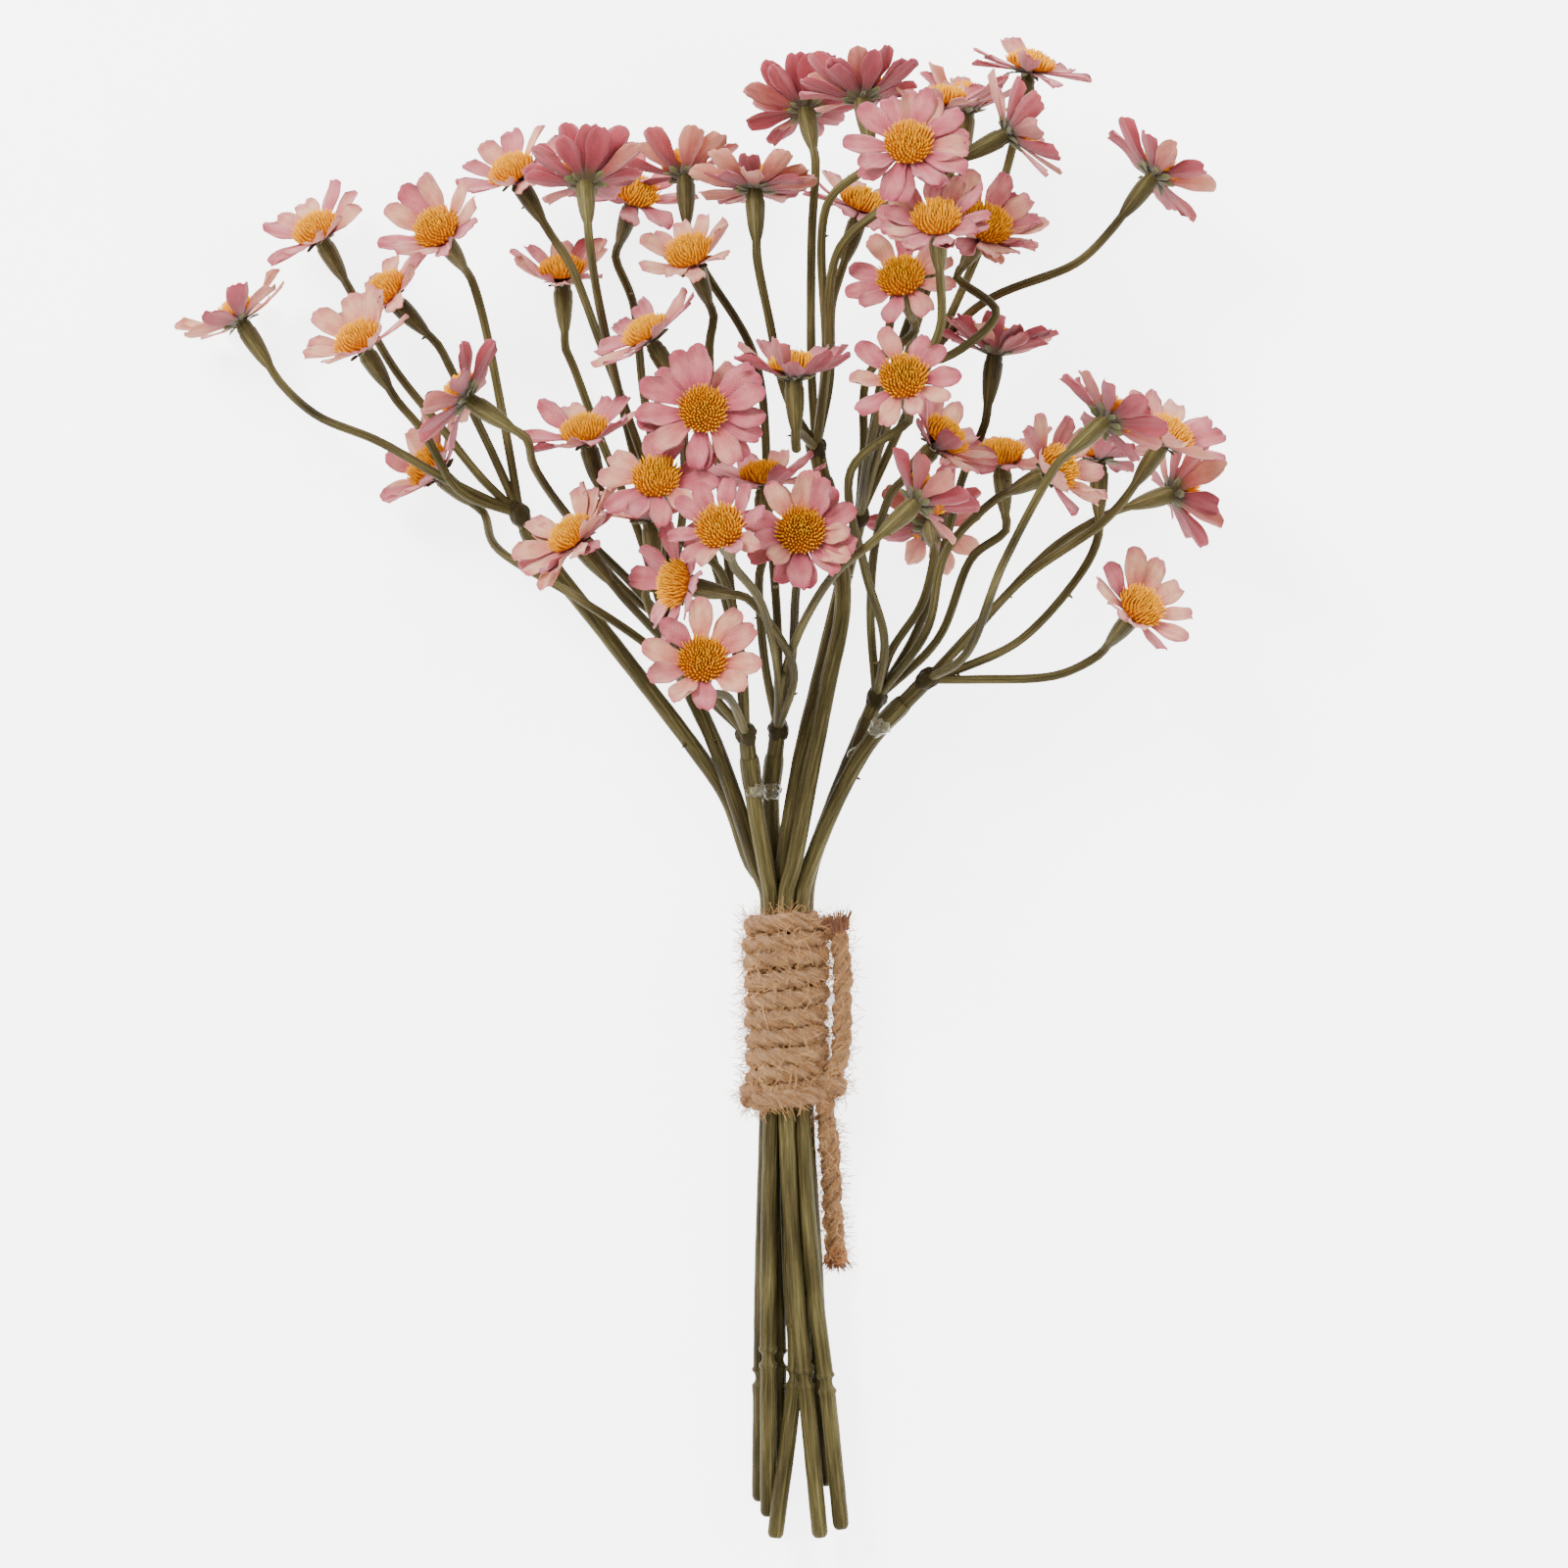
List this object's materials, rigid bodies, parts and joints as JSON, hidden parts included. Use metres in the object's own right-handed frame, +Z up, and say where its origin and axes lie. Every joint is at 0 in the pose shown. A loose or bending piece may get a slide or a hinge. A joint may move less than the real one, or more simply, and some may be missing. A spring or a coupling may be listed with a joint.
{
  "type": "tied bunch of artificial daisies",
  "caption": "Bunch of artificial daisies with pink fabric petals and domed yellow middles on branching plastic stems, tied with jute twine and lying on its back.",
  "frame": {"origin": "middle of the bunch's footprint on the surface that it lies on", "axes": "+Y from the cut stem ends to the flowers, +X to the right, +Z up from the surface"},
  "size_m": [0.232, 0.329, 0.0916],
  "materials": {
    "stem_plastic": "moulded olive green with lengthwise ribs",
    "petal_fabric": "woven, dusty pink fading to pale peach, with a moulded orange yellow middle",
    "jute": "hairy three strand twine"
  },
  "bodies": {
    "root": {"spray_far_left": "stem_plastic", "spray_upper_left": "stem_plastic", "spray_front_left": "stem_plastic", "spray_middle_left": "stem_plastic", "spray_middle_top": "stem_plastic", "spray_middle_back": "stem_plastic", "spray_right_back": "stem_plastic", "spray_right_front": "stem_plastic", "flower_01": "petal_fabric", "flower_02": "petal_fabric", "flower_03": "petal_fabric", "flower_04": "petal_fabric", "flower_05": "petal_fabric", "flower_06": "petal_fabric", "flower_07": "petal_fabric", "flower_08": "petal_fabric", "flower_09": "petal_fabric", "flower_10": "petal_fabric", "flower_11": "petal_fabric", "flower_12": "petal_fabric", "flower_13": "petal_fabric", "flower_14": "petal_fabric", "flower_15": "petal_fabric", "flower_16": "petal_fabric", "flower_17": "petal_fabric", "flower_18": "petal_fabric", "flower_19": "petal_fabric", "flower_20": "petal_fabric", "flower_21": "petal_fabric", "flower_22": "petal_fabric", "flower_23": "petal_fabric", "flower_24": "petal_fabric", "flower_25": "petal_fabric", "flower_26": "petal_fabric", "flower_27": "petal_fabric", "flower_28": "petal_fabric", "flower_29": "petal_fabric", "flower_30": "petal_fabric", "flower_31": "petal_fabric", "flower_32": "petal_fabric", "flower_33": "petal_fabric", "flower_34": "petal_fabric", "flower_35": "petal_fabric", "flower_36": "petal_fabric", "flower_37": "petal_fabric", "flower_38": "petal_fabric", "flower_39": "petal_fabric", "flower_40": "petal_fabric", "flower_41": "petal_fabric", "flower_42": "petal_fabric", "flower_43": "petal_fabric", "flower_44": "petal_fabric", "flower_45": "petal_fabric", "flower_46": "petal_fabric", "flower_47": "petal_fabric", "flower_48": "petal_fabric", "flower_49": "petal_fabric", "flower_50": "petal_fabric", "twine_wrap": "jute", "twine_tail": "jute"}
  },
  "joints": []
}
